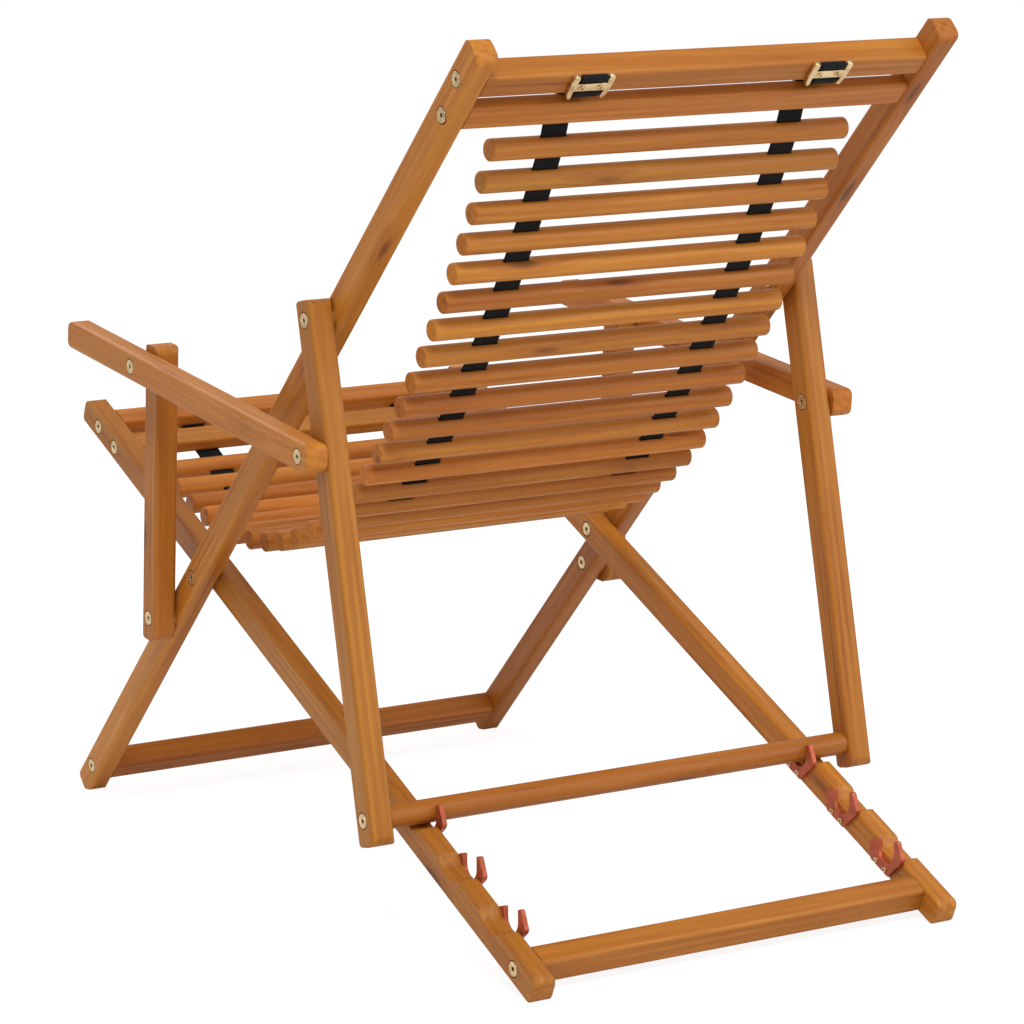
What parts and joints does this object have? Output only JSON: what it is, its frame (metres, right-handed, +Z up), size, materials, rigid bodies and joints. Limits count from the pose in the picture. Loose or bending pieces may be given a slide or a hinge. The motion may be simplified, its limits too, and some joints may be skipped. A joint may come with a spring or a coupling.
{
  "type": "folding wooden deck chair",
  "caption": "Folding wooden deck chair: crossed back and seat frames, round slats on two webbing straps, armrests, and a round prop bar in notched seat rails with forked clips.",
  "frame": {"origin": "on the floor, midway between the two sides and midway along the chair's length", "axes": "+X towards the sitter's left, +Y towards the rear, where the back leans, +Z up"},
  "size_m": [0.5952, 0.8924, 0.8218],
  "materials": {
    "timber": "oiled hardwood, eased edges",
    "slat": "oiled turned dowel",
    "brass": "yellow plated steel, satin",
    "clip": "copper-red satin",
    "webbing": "black woven webbing"
  },
  "bodies": {
    "back_frame": {"back_rail_left": "timber", "back_rail_right": "timber", "head_crossbar": "timber", "head_board": "timber", "foot_crossbar": "timber", "back_frame_bolts": "brass", "strap_buckles": "brass", "buckle_screws": "brass", "strap_head": "webbing", "pivot_bolts": "brass", "pivot_washers": "brass"},
    "seat_frame": {"seat_rail_left": "timber", "seat_rail_right": "timber", "front_crossbar": "timber", "front_board": "timber", "rear_crossbar": "timber", "notch_clips": "clip", "clip_screws": "brass", "seat_frame_bolts": "brass", "strap_front": "webbing", "slat_23": "slat", "slat_24": "slat", "slat_25": "slat", "slat_26": "slat", "slat_27": "slat"},
    "prop_frame": {"prop_strut_left": "timber", "prop_strut_right": "timber", "prop_bar": "timber", "prop_bolts": "brass"},
    "arm_left": {"armrest_left": "timber", "armrest_bolt_left": "brass"},
    "arm_right": {"armrest_right": "timber", "armrest_bolt_right": "brass"},
    "post_left": {"arm_post_left": "timber"},
    "post_right": {"arm_post_right": "timber"},
    "sling_upper": {"strap_upper": "webbing", "slat_01": "slat", "slat_02": "slat", "slat_03": "slat", "slat_04": "slat", "slat_05": "slat", "slat_06": "slat", "slat_07": "slat", "slat_08": "slat", "slat_09": "slat"},
    "sling_middle": {"strap_middle": "webbing", "slat_10": "slat", "slat_11": "slat", "slat_12": "slat", "slat_13": "slat", "slat_14": "slat", "slat_15": "slat"},
    "sling_lower": {"strap_lower": "webbing", "slat_16": "slat", "slat_17": "slat", "slat_18": "slat", "slat_19": "slat", "slat_20": "slat", "slat_21": "slat", "slat_22": "slat"}
  },
  "joints": [
    {"name": "seat_fold", "type": "hinge", "parent": "back_frame", "child": "seat_frame", "pos_m": [0, -0.15658, 0.27111], "axis": [1, 0, 0], "range_deg": [0, 62]},
    {"name": "prop_swing", "type": "hinge", "parent": "back_frame", "child": "prop_frame", "pos_m": [0, 0.13556, 0.5602], "axis": [1, 0, 0], "range_deg": [0, 122.41]},
    {"name": "post_left_swing", "type": "hinge", "parent": "back_frame", "child": "post_left", "pos_m": [0.2629, -0.20278, 0.22539], "axis": [1, 0, 0], "range_deg": [-32.46, 0]},
    {"name": "post_right_swing", "type": "hinge", "parent": "back_frame", "child": "post_right", "pos_m": [-0.2629, -0.20278, 0.22539], "axis": [1, 0, 0], "range_deg": [-32.46, 0]},
    {"name": "arm_left_swing", "type": "hinge", "parent": "prop_frame", "child": "arm_left", "pos_m": [0.28685, 0.16113, 0.44296], "axis": [1, 0, 0], "range_deg": [-77.58, 0]},
    {"name": "arm_right_swing", "type": "hinge", "parent": "prop_frame", "child": "arm_right", "pos_m": [-0.28685, 0.16113, 0.44296], "axis": [1, 0, 0], "range_deg": [-77.58, 0]},
    {"name": "sling_upper_bend", "type": "hinge", "parent": "back_frame", "child": "sling_upper", "pos_m": [0, 0.32451, 0.75226], "axis": [1, 0, 0], "range_deg": [-10.65, 0]},
    {"name": "sling_middle_bend", "type": "hinge", "parent": "sling_upper", "child": "sling_middle", "pos_m": [0, 0.16079, 0.48816], "axis": [1, 0, 0], "range_deg": [0, 9.89]},
    {"name": "sling_lower_bend", "type": "hinge", "parent": "sling_middle", "child": "sling_lower", "pos_m": [0, 0.01763, 0.35448], "axis": [1, 0, 0], "range_deg": [0, 26.48]}
  ],
  "couplings": [
    {"joint": "prop_swing", "follows": "seat_fold", "ratio": 1.9741},
    {"joint": "post_left_swing", "follows": "seat_fold", "ratio": -0.5233},
    {"joint": "post_right_swing", "follows": "seat_fold", "ratio": -0.5233},
    {"joint": "arm_left_swing", "follows": "seat_fold", "ratio": -1.251},
    {"joint": "arm_right_swing", "follows": "seat_fold", "ratio": -1.251},
    {"joint": "sling_upper_bend", "follows": "seat_fold", "ratio": -0.1715},
    {"joint": "sling_middle_bend", "follows": "seat_fold", "ratio": 0.1593},
    {"joint": "sling_lower_bend", "follows": "seat_fold", "ratio": 0.4268}
  ]
}
